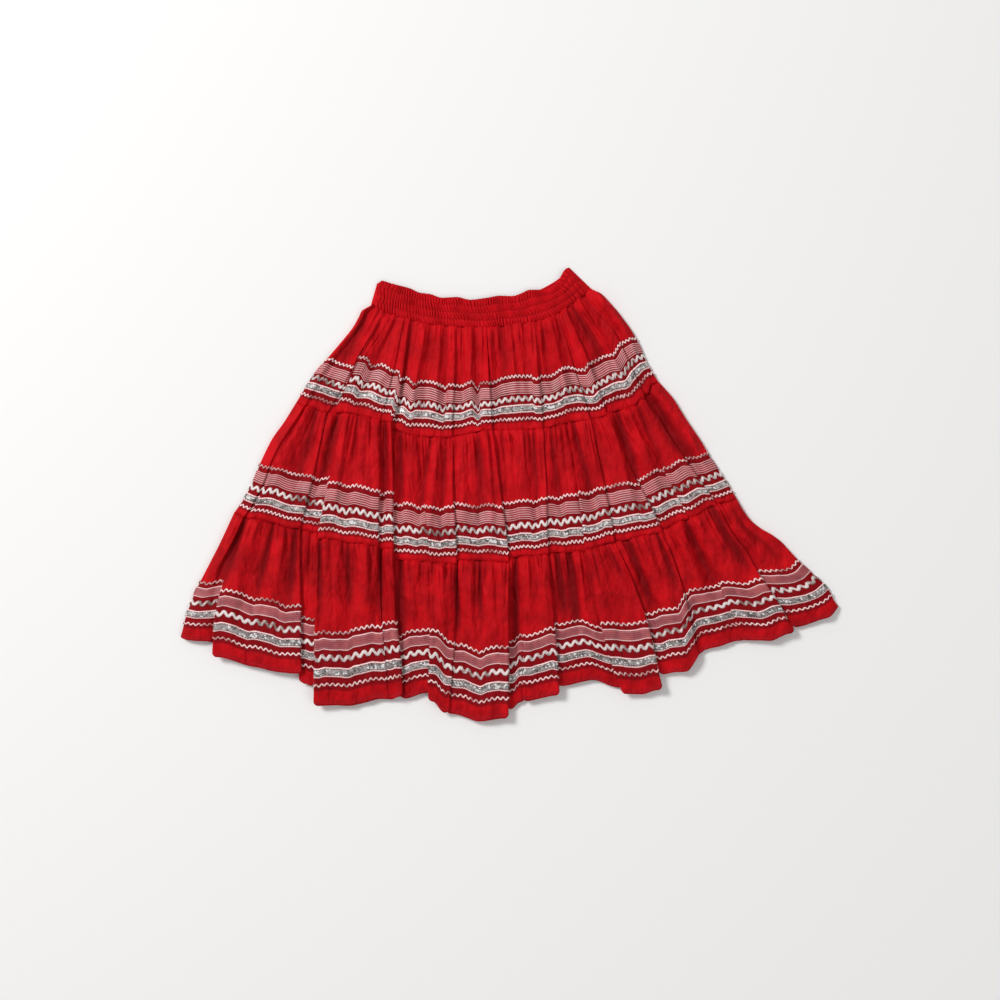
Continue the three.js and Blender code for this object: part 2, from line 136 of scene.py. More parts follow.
# The main creases of each tier, left to right: X at the tier's upper and lower line, half its
# width and its height, where it starts and ends as shares of the way down, its lean (above 0 the
# right side is the steeper one) and how far the cloth is pushed up the skirt on it, which the upper
# tier takes from upperPath. Below 0 in height is a trough.
creases = {
    "upper": [
        (-205, -290, 9, -13, 0, 0.75, 0.3), (-190, -262, 7, 4, 0.1, 0.9, 0.3),
        (-178, -250, 8, 6, 0.05, 1, 0.6), (-168, -232, 5, -6, 0, 0.9, -0.4),
        (-158, -214, 7, 5, 0.05, 0.9, 0.4), (-146, -172, 8, -8, 0, 1, -0.5),
        (-128, -150, 7, 5, 0, 0.9, 0.4), (-116, -132, 4, -5, 0, 0.8, 0.2),
        (-104, -112, 5, 4, 0, 0.9, 0.4), (-94, -98, 5, -7, 0, 1, 0.3), (-82, -84, 6, 4, 0, 0.8, -0.3),
        (-70, -70, 4, -5, 0, 0.7, 0.2), (-58, -56, 6, 5, 0, 1, 0.4), (-48, -42, 4, -6, 0, 0.9, 0.3),
        (-30, -26, 6, 4, 0, 0.8, 0.4), (-10, -8, 6, -9, 0, 1, 0.4), (4, 8, 8, 4, 0.05, 0.9, 0.3),
        (20, 34, 5, -6, 0, 0.8, -0.3), (32, 50, 8, 5, 0.05, 0.9, 0.4), (48, 76, 4, -6, 0, 0.8, 0.2),
        (60, 96, 7, 5, 0, 0.95, 0.4), (70, 114, 5, -8, 0, 0.9, 0.3), (82, 146, 9, 6, 0, 1, 0.4),
        (92, 174, 8, -13, 0, 0.8, 0.4), (101, 188, 8, 5, 0.05, 1, 0.3), (109, 198, 5, -7, 0, 0.9, 0.1),
        (117, 212, 8, 4, 0.05, 0.9, 0.2),
    ],
    "middle": [
        (-300, -374, 11, 5, 0, 0.85, 0.5, 2), (-286, -336, 9, -8, 0, 0.8, 0.4, -2),
        (-256, -306, 9, -9, 0, 0.75, -0.6, -3), (-240, -268, 9, 6, 0, 1, 0.6, 4),
        (-226, -244, 5, -5, 0, 0.6, 0.3, 0), (-210, -222, 8, 4, 0, 0.8, 0.5, 2),
        (-186, -185, 6, -9, 0, 0.85, 0, 0), (-162, -160, 5, -8, 0, 0.7, 0.3, -2),
        (-146, -148, 7, 4, 0, 0.6, 0.4, 2), (-116, -142, 6, -7, 0, 0.75, 0.5, -2),
        (-104, -124, 8, 5, 0.05, 0.9, 0.6, 2), (-94, -102, 4, -6, 0, 0.9, 0.2, -2),
        (-70, -66, 10, 5, 0, 0.9, 0.5, 3), (-48, -42, 6, -7, 0, 0.8, -0.4, -2),
        (-34, -26, 8, 5, 0, 1, 0.5, 3), (20, 26, 9, 4, 0, 0.7, 0.5, 2), (36, 44, 5, -7, 0, 0.9, 0.3, -3),
        (50, 64, 8, 4, 0, 0.9, 0.5, 2), (62, 86, 5, -7, 0, 0.8, 0.3, -3),
        (80, 110, 11, 5, 0, 0.9, 0.5, 3), (96, 140, 6, -8, 0, 0.8, 0.4, -3),
        (110, 156, 8, 4, 0, 0.7, 0.4, 1), (150, 196, 11, 6, 0, 0.95, 0.6, 3),
        (162, 216, 8, -9, 0, 0.8, 0.4, -4), (178, 240, 10, 5, 0, 1, 0.5, 3),
        (190, 262, 6, -6, 0, 0.7, 0.2, -1), (204, 314, 9, -10, 0, 0.9, 0.3, -4),
        (212, 328, 9, 5, 0, 1, 0.4, 2),
    ],
    "lower": [
        (-392, -438, 10, -8, 0, 0.6, 0.4, 0), (-374, -420, 12, 6, 0, 0.9, 0.6, 3),
        (-352, -392, 7, -8, 0, 0.6, 0.4, -1), (-334, -368, 12, 5, 0, 0.7, 0.6, 3),
        (-318, -340, 9, -9, 0, 0.6, 0.3, -2), (-284, -280, 6, -7, 0, 0.6, -0.3, 0),
        (-262, -258, 12, 5, 0, 0.75, 0.6, 2), (-240, -236, 6, -7, 0, 0.5, 0.4, -1),
        (-214, -210, 13, 6, 0, 0.7, 0.5, 3), (-192, -186, 6, -7, 0, 0.55, 0.3, -1),
        (-162, -156, 8, -9, 0, 0.7, 0.3, -2), (-144, -142, 8, 5, 0, 0.6, 0.5, 2),
        (-100, -104, 12, 6, 0, 0.65, 0.5, 2), (-80, -74, 6, -7, 0, 0.6, 0.3, -1),
        (-62, -52, 9, 5, 0, 0.6, 0.5, 2), (-44, -38, 5, -7, 0, 0.5, 0.3, 0),
        (-26, -18, 9, 5, 0, 0.7, 0.6, 2), (10, 10, 6, -9, 0, 0.9, 0.2, 0),
        (28, 32, 8, 6, 0, 0.45, 0.5, 1), (48, 60, 12, 5, 0.1, 0.9, 0.6, 3),
        (72, 90, 8, -9, 0, 0.6, 0.3, -1), (90, 112, 9, -11, 0, 0.72, 0.3, -1),
        (104, 130, 7, 5, 0, 0.5, 0.5, 1), (124, 172, 14, 9, 0, 0.75, 0.6, 2),
        (146, 216, 6, -4, 0, 0.4, 0.3, 0), (176, 238, 8, -9, 0, 0.6, 0.3, -1),
        (198, 262, 12, 5, 0, 0.6, 0.5, 2), (220, 284, 6, -8, 0, 0.55, 0.3, 0),
        (244, 316, 13, 6, 0, 0.7, 0.5, 2), (262, 344, 7, -8, 0, 0.6, 0.3, -1),
        (284, 376, 13, 5, 0, 0.6, 0.5, 2), (302, 410, 8, -9, 0, 0.6, 0.3, -1),
        (318, 440, 10, 5, 0, 0.7, 0.5, 1), (330, 466, 7, -6, 0.05, 0.6, 0.4, 0),
    ],
}

# Where the upper tier's top rickrack runs: it steps from one gather to the next
upperPath = [
    (-268, 206), (-254, 196), (-239, 191), (-229, 188), (-224, 202), (-212, 200), (-206, 190),
    (-194, 193), (-185, 188), (-176, 182), (-166, 182), (-163, 169), (-152, 172), (-139, 161),
    (-131, 166), (-119, 166), (-104, 161), (-95, 157), (-92, 161), (-74, 160), (-56, 166), (-47, 155),
    (-42, 164), (-29, 166), (-14, 172), (-2, 173), (16, 175), (31, 175), (37, 170), (43, 170), (48, 174),
    (58, 175), (68, 179), (77, 185), (91, 188), (106, 183), (112, 183), (118, 193), (128, 199),
    (140, 205), (151, 206), (160, 223), (169, 232), (187, 241), (200, 244),
]

# Each tier: the line at its top; the zone of its trims above its lower edge; its rows of faces and
# length; the puff of cloth under its seam, and the share of the way down where it has risen; how
# far its start drops under the edge above; how dark the painted shade in its troughs is; the size of
# the steps between its creases; and its gathers, in three sizes. For each size: spacing at the tier's
# top, depth, half-width at the top and its growth down the tier, where they have come and have gone.
tierFacts = {
    "upper": {
        "top": waist, "zone": (90, 12), "rows": 46, "length": 172, "seed": 11,
        "puff": 5.4, "rise": 0.05, "drop": 0.3, "paint": 0.6,
        "gathers": [(7.2, 4.4, 1.6, 2, 0, 0.7), (15, 5, 2.6, 4.5, 0, 1.25), (31, 3.4, 5, 7, 0.1, 1.4)],
    },
    "middle": {
        "top": upperSeam, "zone": (90, 10), "rows": 46, "length": 178, "seed": 12,
        "puff": 7.5, "rise": 0.025, "drop": 1.5, "paint": 0.8, "step": 0.7,
        "gathers": [(8.4, 5, 1.7, 3, 0, 0.42), (19, 5.4, 2.8, 6, 0, 0.85), (41, 3.6, 6, 9, 0.1, 1.1)],
    },
    "lower": {
        "top": lowerSeam, "zone": (121, 24), "rows": 50, "length": 214, "seed": 13,
        "puff": 8.5, "rise": 0.025, "drop": 1.5, "paint": 0.95, "step": 0.45,
        "gathers": [(9.2, 5.6, 1.8, 4, 0, 0.34), (22, 6, 3.2, 8, 0, 0.7), (48, 4.2, 7, 10, 0.1, 0.9)],
    },
}

# Each tier's trims, top to bottom: the middle of each above the tier's lower edge, its height,
# and for rickrack the length of one wave and the width of its braid
trimFacts = {
    "upper": {
        "rickrack_high": (79.5, 5.4, 6.2, 2.3), "lined_ribbon": (62.5, 18.5),
        "rickrack_wide": (46.5, 9.4, 10, 4.6), "silver_ribbon": (32, 12.5),
        "rickrack_low": (17, 5.4, 6.2, 2.3),
    },
    "middle": {
        "rickrack_high": (82.5, 5.4, 6.4, 2.3), "lined_ribbon": (64, 18.5),
        "rickrack_wide": (46, 10, 11, 4.8), "silver_ribbon": (29, 12.5),
        "rickrack_low": (14.5, 5.4, 6.4, 2.3),
    },
    "lower": {
        "rickrack_high": (112, 6.2, 8.4, 2.6), "lined_ribbon": (94, 18.5),
        "rickrack_wide": (73, 11, 13, 5.6), "silver_ribbon": (51, 15),
        "rickrack_low": (32, 6.2, 8.4, 2.6),
    },
}


def ease(t):
    # slow at both ends, from 0 to 1
    t = np.clip(t, 0.0, 1.0)
    return t * t * (3 - 2 * t)


def slopesOf(s, v):
    # slope at each point: the harmonic mean of its two neighbours' slopes, or 0 at a peak, so
    # that the curve never swings past its points
    step = np.diff(s)
    rate = np.diff(v, axis=-1) / step
    before, after = rate[..., :-1], rate[..., 1:]
    product = before * after
    total = before + after
    inner = np.where(product > 0, 2 * product / np.where(total == 0, 1, total), 0)
    return np.concatenate([rate[..., :1], inner, rate[..., -1:]], axis=-1)


def smoothCurve(s, v, at):
    # the cubic through the points (s, v) at the places at
    slope = slopesOf(s, v)
    i = np.clip(np.searchsorted(s, at, side="right") - 1, 0, len(s) - 2)
    span = s[i + 1] - s[i]
    t = (at - s[i]) / span
    t2, t3 = t * t, t * t * t
    return ((2 * t3 - 3 * t2 + 1) * v[i] + (3 * t2 - 2 * t3) * v[i + 1]
            + ((t3 - 2 * t2 + t) * slope[i] + (t3 - t2) * slope[i + 1]) * span)


def alongLine(points, x):
    # the curve through a list of points, level beyond its ends
    table = np.array(points, float)
    inside = np.clip(np.asarray(x, float), table[0, 0], table[-1, 0])
    return smoothCurve(table[:, 0], table[:, 1], inside)


def patternNoise(x, y, seed):
    # smooth unevenness from -1 to 1: random values on a lattice one unit apart, eased between
    lattice = np.random.RandomState(seed).rand(128, 128) * 2 - 1
    i, j = np.floor(x).astype(int), np.floor(y).astype(int)
    u, w = ease(x - i), ease(y - j)
    i0, i1, j0, j1 = i % 128, (i + 1) % 128, j % 128, (j + 1) % 128
    low = lattice[i0, j0] * (1 - u) + lattice[i1, j0] * u
    high = lattice[i0, j1] * (1 - u) + lattice[i1, j1] * u
    return low * (1 - w) + high * w


# The knots of the tube: a list of places round it, each with X, Y and height at the four lines,
# the bend of the lower tier, the stack of its trims and how far the hem's corner is rounded up.
# They go up over the left side, along the front with its folds, down over the right side and
# back under it.
def sideKnots(side, outward):
    knots = []
    for offset, height, rise, corner in ((-14, 8.2, 0.4, 0), (-5, 7.4, 0.15, 1), (0.2, 5.6, 0, 3),
                                         (1.8, 3.2, 0, 4), (0.2, 0.9, 0, 3), (-6, 0.1, 0, 0)):
        shares = [lay["foldWidth"][k] if offset < -10 else 1 for k in range(4)]
        x = [side["x"][k] + outward * offset * shares[k] for k in range(4)]
        dips = [0, 14, 14, side["hemDip"]]      # the lines dip over the fold
        y = [side["y"][k] - dips[k] * rise for k in range(4)]
        knots.append((x, y, [height] * 4, 0, side["stack"], corner))
    return knots


def foldKnots(fold, stackBefore):
    # over the fold's edge, back under it and down to the lower side
    over, edge, leftY, rightY, rise, bend, wider, sag, stack = fold[1:]
    toLow = 1 if over == "left" else -1
    highY, lowY = (leftY, rightY) if over == "left" else (rightY, leftY)
    highStack, lowStack = (stackBefore, stack) if over == "left" else (stack, stackBefore)
    knots = []
    # (shift from the edge, shift by the tuck, share of the height, share of the lower side's Y,
    # how far the hem's corner is rounded up there)
    for shift, tuck, share, low, corner in (
            (-6, 0, 0.92, 0, 0), (-1.5, 0, 1, 0, 2.4), (0.7, 0, 0.7, 0, 6),
            (0, -0.5, 0.42, 0.5, 8), (0, -1, 0.22, 1, 6), (4.5, 0, 0.02, 1, 0)):
        x, y, z = [], [], []
        for line in range(4):
            wide = lay["foldWidth"][line]
            under = tuck * lay["tuck"] * rise[line]
            mix = low
            if line == hem and wider:
                mix = (shift + 6) / 10.5        # from 0 to 1 over the shifts
                under = wider * mix
            place = edge[line] + toLow * (shift * wide + under)
            x.append(place)
            z.append(lay["frontHeight"] + share * rise[line])
            if line == waist:
                y.append(float(alongLine(bandLower, place)))
            else:
                y.append(highY[line - 1] * (1 - mix) + lowY[line - 1] * mix)
        rounded = corner * min(1, rise[hem] / 8)
        knots.append((x, y, z, bend, highStack * (1 - low) + lowStack * low, rounded))
    return knots if over == "left" else knots[::-1]


def middleKnot(before, after, sag):
    # half-way between two folds, a little lower than they are
    x = [(a + b) / 2 for a, b in zip(before[0], after[0])]
    y = [(a + b) / 2 for a, b in zip(before[1], after[1])]
    y[waist] = float(alongLine(bandLower, x[waist]))
    y[hem] -= sag
    keep = lay["panelShare"]
    z = [(a + b) / 2 * keep + lay["frontHeight"] * (1 - keep) + lay["panelLift"]
         for a, b in zip(before[2], after[2])]
    return (x, y, z, (before[3] + after[3]) / 2, (before[4] + after[4]) / 2, 0)


def backKnot(share):
    # share is the way along the back from right to left; each line dips there as a sine does
    x = [rightSide["x"][k] + (leftSide["x"][k] - rightSide["x"][k]) * share for k in range(4)]
    y = []
    for k in range(4):
        dip = math.sin(math.pi * share) ** lay["backSagPower"][k]
        level = rightSide["y"][k] + (leftSide["y"][k] - rightSide["y"][k]) * share
        y.append(level - lay["backSag"][k] * dip)
    stack = rightSide["stack"] * (1 - share) + leftSide["stack"] * share
    return (x, y, [lay["backHeight"]] * 4, 0, stack, 0)


def allKnots():
    # the knots in order, and which of them the front starts and ends at
    left = sideKnots(leftSide, -1)[::-1]
    right = sideKnots(rightSide, 1)
    knots = left[2:]
    start = len(knots) - 3
    sag, stack = 0, leftSide["stack"]
    for fold in folds:
        group = foldKnots(fold, stack)
        if group[0][0][hem] - knots[-1][0][hem] > 24:
            knots.append(middleKnot(knots[-1], group[0], sag))
        knots += group
        sag, stack = fold[8], fold[9]
    knots.append(middleKnot(knots[-1], right[0], sag))
    knots += right[:4]
    end = len(knots) - 2
    knots += right[4:]
    knots += [backKnot(k / 9) for k in range(1, 9)]
    knots += left[:2]
    return knots, start, end


knotList, startKnot, endKnot = allKnots()
knotX, knotY, knotZ = (np.array([knot[k] for knot in knotList], float).T for k in range(3))
knotExtra = np.array([k[3:] for k in knotList], float).T

# s is the way round the tube, in millimetres measured half-way down the skirt
closedX = np.concatenate([knotX, knotX[:, :1]], axis=1)
closedZ = np.concatenate([knotZ, knotZ[:, :1]], axis=1)
chords = np.sqrt(np.diff(closedX, axis=1) ** 2 + np.diff(closedZ, axis=1) ** 2)[1:].mean(axis=0)
knotS = np.concatenate([[0], np.cumsum(np.maximum(chords, 1.0))])
roundS = knotS[-1]
knotS = knotS[:-1]
frontStart, frontEnd = knotS[startKnot], knotS[endKnot]
pad = 3
paddedS = np.concatenate([knotS[-pad:] - roundS, knotS, knotS[:pad] + roundS])


def padded(values):
    # the last few knots before the first ones and the first few after the last ones
    return np.concatenate([values[:, -pad:], values, values[:, :pad]], axis=1)


paddedX, paddedY, paddedZ, paddedExtra = (padded(v) for v in (knotX, knotY, knotZ, knotExtra))


def linePoint(line, s):
    # X, Y and height of a line across the skirt at the places s round the tube
    s = np.mod(s, roundS)
    return (smoothCurve(paddedS, paddedX[line], s), smoothCurve(paddedS, paddedY[line], s),
            smoothCurve(paddedS, paddedZ[line], s))


def extraAt(number, s):
    # bend, stack or corner at the places s
    return smoothCurve(paddedS, paddedExtra[number], np.mod(s, roundS))


def frontShare(s):
    # 1 on the front, 0 on the back, easing over the side folds
    s = np.mod(s, roundS)
    rise = ease((s - frontStart + 4) / 22)
    fall = ease((frontEnd + 4 - s) / 22)
    return np.where((s > frontStart - 4) & (s < frontEnd + 4), rise * fall, 0)


def sideShares(s):
    # how much a place follows each side fold's bow
    s = np.mod(s, roundS)
    nearLeft = np.exp(-(np.minimum(s, roundS - s) / 45) ** 2)
    nearRight = np.exp(-((s - frontEnd) / 45) ** 2)
    return nearLeft, nearRight


def gatherList(tier, pitch, depth, width, growth, come, gone, random):
    # one size of a tier's gathers, in rows of: X at the tier's upper and lower line, half-width
    # left and right, growth, depth, where it has come, where it has gone, and its wave's start
    sample = np.linspace(frontStart, frontEnd, 3000)
    x = np.maximum.accumulate(linePoint(tier["top"], sample)[0])
    count = int((x[-1] - x[0]) / pitch)
    gaps = 0.4 + 1.2 * random.rand(count + 1)
    topX = x[0] + (x[-1] - x[0]) * np.cumsum(gaps)[:-1] / gaps.sum()
    lowX = linePoint(tier["top"] + 1, np.interp(topX, x, sample))[0]
    lean = 0.5 * (random.rand(count) - 0.35)
    return np.stack([
        topX, lowX + (random.rand(count) - 0.5) * pitch * 1.6, width * (1 + lean), width * (1 - lean),
        growth * (0.6 + 0.8 * random.rand(count)), depth * (0.35 + 0.65 * random.rand(count)),
        come + 0.1 * random.rand(count), gone * (0.35 + 0.75 * random.rand(count)),
        random.rand(count) * 6.28,
    ], axis=1)


for tierName, tier in tierFacts.items():
    seeded = np.random.RandomState(tier["seed"])
    tier["gatherRows"] = [gatherList(tier, *size, seeded) for size in tier["gathers"]]
    tier["creaseRows"] = np.array(creases[tierName], float)
    print("tier", tierName, "has", sum(len(rows) for rows in tier["gatherRows"]), "gathers and",
          len(tier["creaseRows"]), "main creases")


def tierLength(tier, s):
    # straight down the cloth from the tier's upper line to its lower one
    upper, lower = linePoint(tier["top"], s), linePoint(tier["top"] + 1, s)
    return np.hypot(lower[0] - upper[0], lower[1] - upper[1])


def stackAt(tier, s):
    # how tall the trims stand together at the places s
    if tier["top"] != lowerSeam:
        return np.ones_like(np.asarray(s, float))
    return extraAt(1, s)


def shareAbove(tier, s, above):
    # the share of the way down that lies this far above the tier's lower edge
    return 1 - above * stackAt(tier, s) / tierLength(tier, s)


def stepsOf(tier, x, down):
    # between two troughs the cloth hangs lower the farther right it is, most at the left of the
    # skirt, and it starts high again after the next trough
    rows = tier["creaseRows"][tier["creaseRows"][:, 3] < 0]
    steps = np.zeros_like(x)
    for before, after in zip(rows[:-1], rows[1:]):
        start = before[0] + (before[1] - before[0]) * down
        width = after[0] + (after[1] - after[0]) * down - start
        t = (x - start) / width
        held = ease(t / 0.12) * ease((1 - t) / 0.06)
        steps += np.where((t > 0) & (t < 1), (0.5 - t) * held * np.minimum(0.2 * width, 7.0), 0)
    return steps * (1 - 0.6 * ease(x / 80))


def pathPush(tier, s, down, zoneAt, above):
    # how far the cloth moves up the skirt so that the top trim runs along the tier's path, less
    # and less towards the two seams
    (x0, y0), (x1, y1) = linePoint(tier["top"], s)[:2], linePoint(tier["top"] + 1, s)[:2]
    share = shareAbove(tier, s, trimFacts["upper"]["rickrack_high"][0])
    push = alongLine(upperPath, x0 + (x1 - x0) * share) - (y0 + (y1 - y0) * share)
    return np.clip(push, -16, 16) * ease(down / zoneAt) * np.clip(above / 60, 0, 1) ** 0.6


def besideCrease(row, x, down):
    # how far each place is from a crease's middle, in half-widths of the crease there
    topX, lowX, width = row[:3]
    lean = row[6]
    away = x - (topX + (lowX - topX) * down)
    size = width * (0.5 + 0.5 * ease(down / 0.4)) * np.where(away > 0, 1 - 0.7 * lean, 1 + 0.7 * lean)
    return np.abs(away) / size


def creasePush(tier, x, down):
    # how far the creases and the steps between them push the cloth up the skirt
    push = np.zeros_like(x)
    for row in tier["creaseRows"]:
        push += row[7] * np.exp(-(besideCrease(row, x, down) / 1.3) ** 8)
    return (0.5 * push + tier["step"] * stepsOf(tier, x, down)) * np.sin(np.pi * down) ** 0.6


def reliefOf(tier, x, down, zoneAt):
    # Height that the gathers and the main creases add: a puff under the seam with sharp-bottomed
    # troughs for the gathers and soft ones for the creases, all cut no deeper than the puff and a
    # little more, and soft ridges. Also gives how deep the troughs are, for the painted shade in them.
    puff = tier["puff"] * (1 - np.exp(-down / tier["rise"])) * (1 - 0.6 * ease(down / (zoneAt * 1.2)))
    puff = puff * (1 - 0.7 * ease((down - 0.8) / 0.2))
    cut, main, ridge = np.zeros_like(x), np.zeros_like(x), np.zeros_like(x)
    for rows in tier["gatherRows"]:
        deepest = np.zeros_like(x)
        for topX, lowX, leftWidth, rightWidth, growth, depth, come, gone, wave in rows:
            away = x - (topX + (lowX - topX) * down + 1.4 * np.sin(6 * down + wave) * down)
            held = ease((down + 0.04) / (come + 0.05)) * (1 - ease((down - 0.3 * gone) / (0.7 * gone)))
            width = np.where(away < 0, leftWidth, rightWidth) + growth * down
            deepest = np.maximum(deepest, depth * held * np.exp(-(np.abs(away) / width) ** 1.3))
        cut += deepest
    for row in tier["creaseRows"]:
        height, start, end = row[3:6]
        held = ease((down - start + 0.06) / 0.1) * (1 - ease((down - end + 0.3) / 0.34))
        shape = held * np.exp(-besideCrease(row, x, down) ** 1.7)
        if height < 0:
            main -= 0.9 * height * shape
        else:
            ridge += 0.8 * height * shape
    ridge = ridge * ease(down / 0.03)       # none of it shows above the seam's edge
    limit = puff + 2.1
    trough = limit * np.tanh((cut + main) / limit)
    # the second value says how dark the painted shade in the troughs is
    return puff + ridge - trough, tier["paint"] * (0.6 * trough + 0.5 * main)


# Crumpling: height, length across and down, shift across and down, and seed of each size of wave,
# and the same for the sharp little ridges, which run slantwise
crumples = [(1.3, 30, 85, 9, 0, 31), (1.1, 14, 36, 0, 5, 32), (0.55, 6.5, 12, 0, 0, 33)]
sharpCrumple = (1.4, 19, 33, 0, 3, 36)


def crumpleOf(x, y):
    # long soft waves down the cloth, smaller ones over them, and a ridge where the slanting
    # pattern crosses 0
    height, across, length, shiftX, shiftY, seed = sharpCrumple
    slanted = x * 0.8 + y * 0.45
    ridged = 1 - 2.2 * np.abs(patternNoise(slanted / across + shiftX, y / length + shiftY, seed))
    total = height * np.clip(ridged, 0, 1) ** 2
    for height, across, length, shiftX, shiftY, seed in crumples:
        total = total + height * patternNoise(x / across + shiftX, y / length + shiftY, seed)
    return total


def clothPoint(tier, s, share, wantPaint=False):
    # A point of the cloth's outer face: s is the way round, share the way down the tier. It is
    # the straight way between the tier's two lines, bowed at the sides and bent at the folds,
    # with the folds settled where the trims start, gathered, creased and crumpled.
    s, share = np.broadcast_arrays(np.asarray(s, float), np.asarray(share, float))
    top = tier["top"]
    x0, y0, z0 = linePoint(top, s)
    x1, y1, z1 = linePoint(top + 1, s)
    zoneAt = shareAbove(tier, s, tier["zone"][0])
    down = np.clip(share, 0, 1)
    settled = ease(share / zoneAt)
    nearLeft, nearRight = sideShares(s)
    bow = (nearRight * alongLine(rightSide["bow"][top], down)
           - nearLeft * alongLine(leftSide["bow"][top], down))
    if top == lowerSeam:
        bow = bow + extraAt(0, s) * np.sin(np.pi * down)
    x = x0 + (x1 - x0) * share + bow
    y = y0 + (y1 - y0) * share
    z = z0 + (z1 - z0) * settled
    front = frontShare(s)
    straightX = x0 + (x1 - x0) * down
    relief, trough = reliefOf(tier, straightX, down, zoneAt)
    above = (1 - share) * np.hypot(x1 - x0, y1 - y0)
    if top == waist:
        push = pathPush(tier, s, down, zoneAt, above)
    else:
        push = creasePush(tier, straightX, down)
    if top == lowerSeam:
        y = y + extraAt(2, s) * ease(1 - above / 18)    # the rounded corners of the hem
    z = z + front * relief
    y = y + front * push
    wander = lay["wander"] * patternNoise(s / 45, down * 2.2 + top * 5, 35)
    x = x + front * wander * np.sin(np.pi * down)
    z = z + front * (crumpleOf(x, y) + 0.7)
    wander = lay["seamWander"] * patternNoise(x / 22, share * 2 + top * 7, 34)
    y = y + front * wander * ease(down / 0.2)

    # each tier starts a little under the edge above it, and the back rises over the trims
    under = 1 - ease(down / 0.025)
    z = z - front * under * tier["drop"]
    y = y + under * lay["seamTuck"] * front
    lifted = ease((tier["zone"][0] + 4 - above) / 6) * ease((above - tier["zone"][1] + 4) / 6)
    leastFront = (lay["leastFront"] - lay["backHeight"]) * ease(front * 4)
    z = np.maximum(z, lay["backHeight"] + np.maximum(leastFront, lay["backLift"] * lifted))
    point = np.stack([x, y, z], axis=-1)
    # with wantPaint it also gives the painted crease shade and the height above the lower edge
    return (point, -front * trough, above / stackAt(tier, s)) if wantPaint else point


def gridMesh(name, points, uv, material, closedDown=False):
    # points is rows by columns by 3, in millimetres, and its columns go round; each four
    # neighbours make a face. uv has one more column and row than points.
    rows, columns = points.shape[:2]
    r = np.arange(rows if closedDown else rows - 1)
    r, c = np.meshgrid(r, np.arange(columns), indexing="ij")
    r, c = r.ravel(), c.ravel()
    rNext, cNext = (r + 1) % rows, (c + 1) % columns
    corners = (r, c), (rNext, c), (rNext, cNext), (r, cNext)
    faces = np.stack([row * columns + column for row, column in corners], axis=1)
    mesh = bpy.data.meshes.new(name)
    mesh.vertices.add(rows * columns)
    mesh.vertices.foreach_set("co", (points.reshape(-1) * millimetre).astype(np.float32))
    mesh.loops.add(faces.size)
    mesh.loops.foreach_set("vertex_index", faces.reshape(-1).astype(np.int32))
    mesh.polygons.add(len(faces))
    mesh.polygons.foreach_set("loop_start", np.arange(0, faces.size, 4, dtype=np.int32))
    mesh.polygons.foreach_set("use_smooth", np.ones(len(faces), bool))
    mesh.update(calc_edges=True)
    layer = mesh.uv_layers.new(name="clothMap")
    places = np.stack([uv[r, c], uv[r + 1, c], uv[r + 1, c + 1], uv[r, c + 1]], axis=1)
    layer.data.foreach_set("uv", (places.reshape(-1) * millimetre).astype(np.float32))
    mesh.validate()
    piece = bpy.data.objects.new(name, mesh)
    bpy.context.collection.objects.link(piece)
    mesh.materials.append(material)
    return piece


def paintMesh(piece, name, values):
    # a number for each point of the mesh that the material reads
    layer = piece.data.attributes.new(name, "FLOAT", "POINT")
    layer.data.foreach_set("value", np.ascontiguousarray(values, dtype=np.float32).ravel())


def mapOf(points, across):
    # the cloth's own map: the way along the middle row in millimetres, and across from the table
    rows, columns = points.shape[:2]
    middle = points[rows // 2]
    steps = np.linalg.norm(np.roll(middle, -1, axis=0) - middle, axis=1)
    along = np.concatenate([[0], np.cumsum(steps)])
    uv = np.zeros((rows + 1, columns + 1, 2))
    uv[:, :, 0] = along[None, :]
    down = np.asarray(across, float)
    uv[:, :, 1] = np.concatenate([down, down[:1]])[:, None]
    return uv


# Materials. metre / size is the scale of a pattern whose features are that many millimetres
# apart; distances on the shader's side are in metres.
metre = 1000
times, plus, minus = {"operation": "MULTIPLY"}, {"operation": "ADD"}, {"operation": "SUBTRACT"}
absolute, greater = {"operation": "ABSOLUTE"}, {"operation": "MAXIMUM"}
smooth = {"interpolation_type": "SMOOTHSTEP"}
colours = {"data_type": "RGBA"}


def linear(hexColour):
    # an sRGB hex colour as the shader reads it
    value = [int(hexColour[i:i + 2], 16) / 255 for i in (1, 3, 5)]
    return [v / 12.92 if v <= 0.04045 else ((v + 0.055) / 1.055) ** 2.4 for v in value] + [1.0]


def addNode(tree, kind, settings=None, inputs=None, out=0):
    # a node with its own settings, and its inputs in order or by name or number: a socket is
    # linked, a hex colour or number is set. Gives the output asked for, or the node for None.
    node = tree.nodes.new("ShaderNode" + kind)
    for key, value in (settings or {}).items():
        setattr(node, key, value)
    for key, value in (inputs.items() if isinstance(inputs, dict) else enumerate(inputs or [])):
        if isinstance(value, bpy.types.NodeSocket):
            tree.links.new(value, node.inputs[key])
        else:
            node.inputs[key].default_value = linear(value) if isinstance(value, str) else value
    return node if out is None else node.outputs[out]


def newMaterial(name):
    # an empty material, and addNode for it
    material = bpy.data.materials.new(name)
    material.use_nodes = True
    material.node_tree.nodes.clear()
    return material, partial(addNode, material.node_tree)


def finishMaterial(add, inputs):
    add("OutputMaterial", None, [add("BsdfPrincipled", None, inputs)], None)


